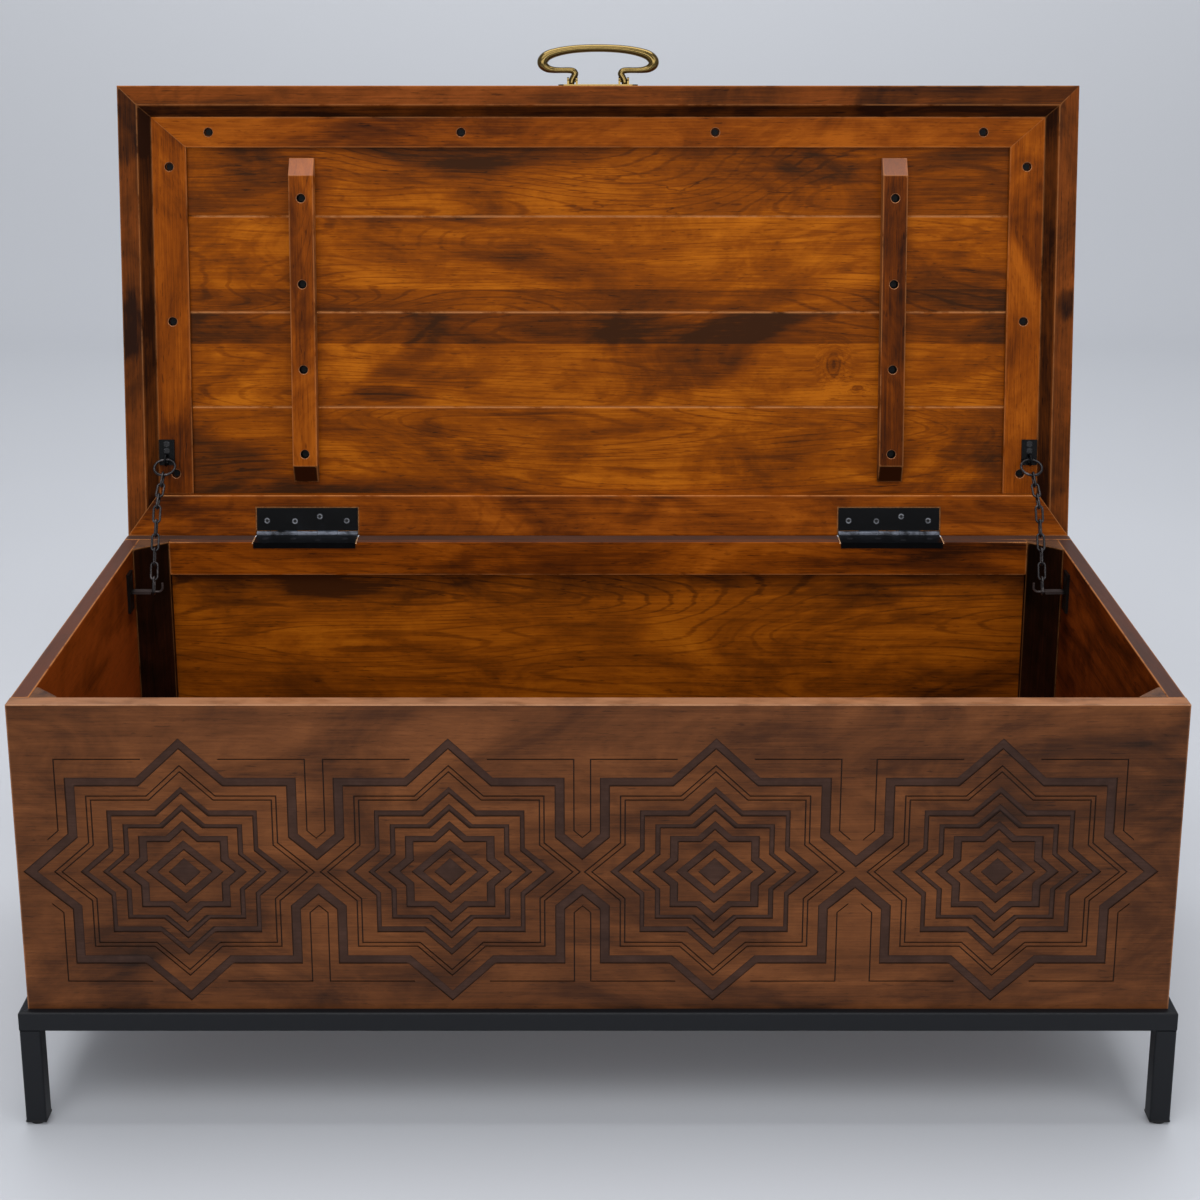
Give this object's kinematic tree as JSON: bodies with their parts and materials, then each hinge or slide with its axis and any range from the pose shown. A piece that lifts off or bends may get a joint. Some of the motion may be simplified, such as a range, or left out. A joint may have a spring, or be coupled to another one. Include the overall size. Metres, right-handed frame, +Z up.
{
  "type": "dowry chest",
  "caption": "Low wooden dowry chest with a carved star front, a framed lid held open by chains, a brass bail handle and a black steel stand.",
  "frame": {"origin": "on the floor, under the middle of the open chest's outline", "axes": "+X along the chest's width to the right seen from the front, +Y from the carved front to the back, +Z up"},
  "size_m": [1.116, 0.6371, 0.9954],
  "materials": {
    "front_walnut": "satin lacquered, dark stained carving",
    "box_walnut": "satin lacquered",
    "floor_wood": "satin lacquered",
    "lid_plank_wood": "satin lacquered, dark figure",
    "lid_rim_wood": "satin lacquered",
    "lid_frame_wood": "satin lacquered",
    "stand_black": "satin black powder coat",
    "glide_plastic": "matt black",
    "screw_steel": "zinc plated",
    "black_iron": "black lacquered",
    "dark_screw": "blackened",
    "chain_iron": "blackened, rubbed bright at the edges",
    "aged_brass": "polished, slightly aged"
  },
  "bodies": {
    "chest": {"front_panel": "front_walnut", "back_panel": "box_walnut", "side_panel_left": "box_walnut", "side_panel_right": "box_walnut", "floor_panel": "floor_wood", "floor_cleats": "floor_wood", "back_top_rail": "box_walnut", "corner_post_back_left": "box_walnut", "corner_post_back_right": "box_walnut", "corner_post_front_left": "box_walnut", "corner_post_front_right": "box_walnut", "base_rail_front": "stand_black", "base_rail_back": "stand_black", "base_rail_left": "stand_black", "base_rail_right": "stand_black", "base_leg_front_left": "stand_black", "base_leg_front_right": "stand_black", "base_leg_back_left": "stand_black", "base_leg_back_right": "stand_black", "leg_glides": "glide_plastic", "base_crossbars": "stand_black", "base_screws": "screw_steel", "hinge_box_leaf_left": "black_iron", "hinge_box_leaf_right": "black_iron", "hinge_pins": "dark_screw", "chain_bracket_left": "black_iron", "chain_bracket_right": "black_iron", "box_hardware_screws": "dark_screw"},
    "lid": {"lid_rim_front": "lid_rim_wood", "lid_rim_left": "lid_rim_wood", "lid_rim_right": "lid_rim_wood", "lid_hinge_rail": "lid_rim_wood", "lid_frame_front": "lid_frame_wood", "lid_frame_left": "lid_frame_wood", "lid_frame_right": "lid_frame_wood", "lid_plank_1": "lid_plank_wood", "lid_plank_2": "lid_plank_wood", "lid_plank_3": "lid_plank_wood", "lid_plank_4": "lid_plank_wood", "lid_batten_left": "lid_frame_wood", "lid_batten_right": "lid_frame_wood", "lid_screws": "dark_screw", "hinge_lid_leaf_left": "black_iron", "hinge_lid_leaf_right": "black_iron", "chain_plate_left": "black_iron", "chain_plate_right": "black_iron", "lid_hardware_screws": "dark_screw", "handle_plate": "aged_brass", "handle_pins": "aged_brass", "handle_screws": "aged_brass"},
    "handle": {"handle_bail": "aged_brass"},
    "chain_low_left": {"chain_low_left": "chain_iron"},
    "chain_mid_left": {"chain_mid_left": "chain_iron"},
    "chain_high_left": {"chain_high_left": "chain_iron", "chain_ring_left": "chain_iron"},
    "chain_low_right": {"chain_low_right": "chain_iron"},
    "chain_mid_right": {"chain_mid_right": "chain_iron"},
    "chain_high_right": {"chain_high_right": "chain_iron", "chain_ring_right": "chain_iron"}
  },
  "joints": [
    {"name": "lid_hinge", "type": "hinge", "parent": "chest", "child": "lid", "pos_m": [0, 0.20842, 0.4363], "axis": [1, 0, 0], "range_deg": [0, 98]},
    {"name": "chain_low_left_pivot", "type": "hinge", "parent": "chest", "child": "chain_low_left", "pos_m": [-0.505, 0.12578, 0.39418], "axis": [1, 0, 0], "range_deg": [0, 129.3]},
    {"name": "chain_mid_left_pivot", "type": "hinge", "parent": "chain_low_left", "child": "chain_mid_left", "pos_m": [-0.505, 0.14252, 0.43756], "axis": [1, 0, 0], "range_deg": [-67.9, 0]},
    {"name": "chain_high_left_pivot", "type": "hinge", "parent": "chain_mid_left", "child": "chain_high_left", "pos_m": [-0.505, 0.16813, 0.48339], "axis": [1, 0, 0], "range_deg": [-80, 0]},
    {"name": "chain_low_right_pivot", "type": "hinge", "parent": "chest", "child": "chain_low_right", "pos_m": [0.505, 0.12578, 0.39418], "axis": [1, 0, 0], "range_deg": [0, 129.3]},
    {"name": "chain_mid_right_pivot", "type": "hinge", "parent": "chain_low_right", "child": "chain_mid_right", "pos_m": [0.505, 0.14252, 0.43756], "axis": [1, 0, 0], "range_deg": [-67.9, 0]},
    {"name": "chain_high_right_pivot", "type": "hinge", "parent": "chain_mid_right", "child": "chain_high_right", "pos_m": [0.505, 0.16813, 0.48339], "axis": [1, 0, 0], "range_deg": [-80, 0]},
    {"name": "handle_pivot", "type": "hinge", "parent": "lid", "child": "handle", "pos_m": [0, 0.3006, 0.95351], "axis": [1, 0, 0], "range_deg": [-80, 80]}
  ],
  "couplings": [
    {"joint": "chain_low_left_pivot", "follows": "lid_hinge", "ratio": 1.319},
    {"joint": "chain_mid_left_pivot", "follows": "lid_hinge", "ratio": -0.692},
    {"joint": "chain_high_left_pivot", "follows": "lid_hinge", "ratio": -0.816},
    {"joint": "chain_low_right_pivot", "follows": "lid_hinge", "ratio": 1.319},
    {"joint": "chain_mid_right_pivot", "follows": "lid_hinge", "ratio": -0.692},
    {"joint": "chain_high_right_pivot", "follows": "lid_hinge", "ratio": -0.816}
  ]
}
